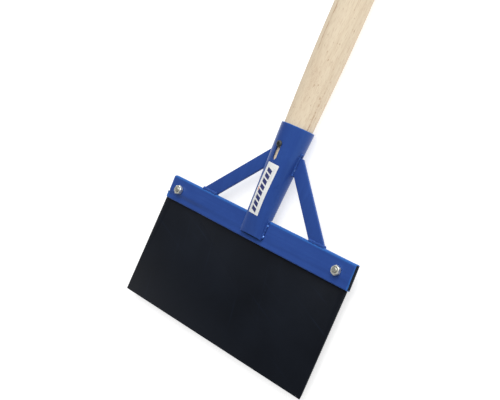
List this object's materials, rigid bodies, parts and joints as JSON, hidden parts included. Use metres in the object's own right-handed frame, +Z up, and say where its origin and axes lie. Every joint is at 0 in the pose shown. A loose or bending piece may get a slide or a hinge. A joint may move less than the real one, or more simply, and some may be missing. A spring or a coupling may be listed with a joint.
{
  "type": "floor scraper",
  "caption": "Long-handled push scraper: wide steel blade bolted under a painted clamp bar, conical socket welded between diagonal braces, straight wooden handle held by a screw.",
  "frame": {"origin": "under the middle of the tool's box, on the surface the tool lies on", "axes": "+Y from the cutting edge towards the handle's end, +Z up on the side of the nuts, +X towards the right with the handle's end farthest away"},
  "size_m": [0.3042, 1.471, 0.0423],
  "materials": {
    "blue_paint": "glossy enamel",
    "beech": "sanded, unvarnished",
    "spring_steel": "dark hardened and oiled",
    "zinc": "yellowish zinc plating",
    "black_oxide": "black oxide",
    "label_film": "semi-gloss film"
  },
  "bodies": {
    "root": {"blade": "spring_steel", "clamp_bar": "blue_paint", "socket": "blue_paint", "handle": "beech", "handle_screw": "black_oxide", "label": "label_film", "bolt_left": "zinc", "bolt_right": "zinc", "nut_left": "zinc", "nut_right": "zinc", "brace_left": "blue_paint", "brace_right": "blue_paint", "weld_socket_left": "blue_paint", "weld_socket_right": "blue_paint", "weld_brace_left_front": "blue_paint", "weld_brace_left_back": "blue_paint", "weld_brace_right_front": "blue_paint", "weld_brace_right_back": "blue_paint", "weld_foot_left_front": "blue_paint", "weld_foot_left_back": "blue_paint", "weld_foot_right_front": "blue_paint", "weld_foot_right_back": "blue_paint"}
  },
  "joints": []
}
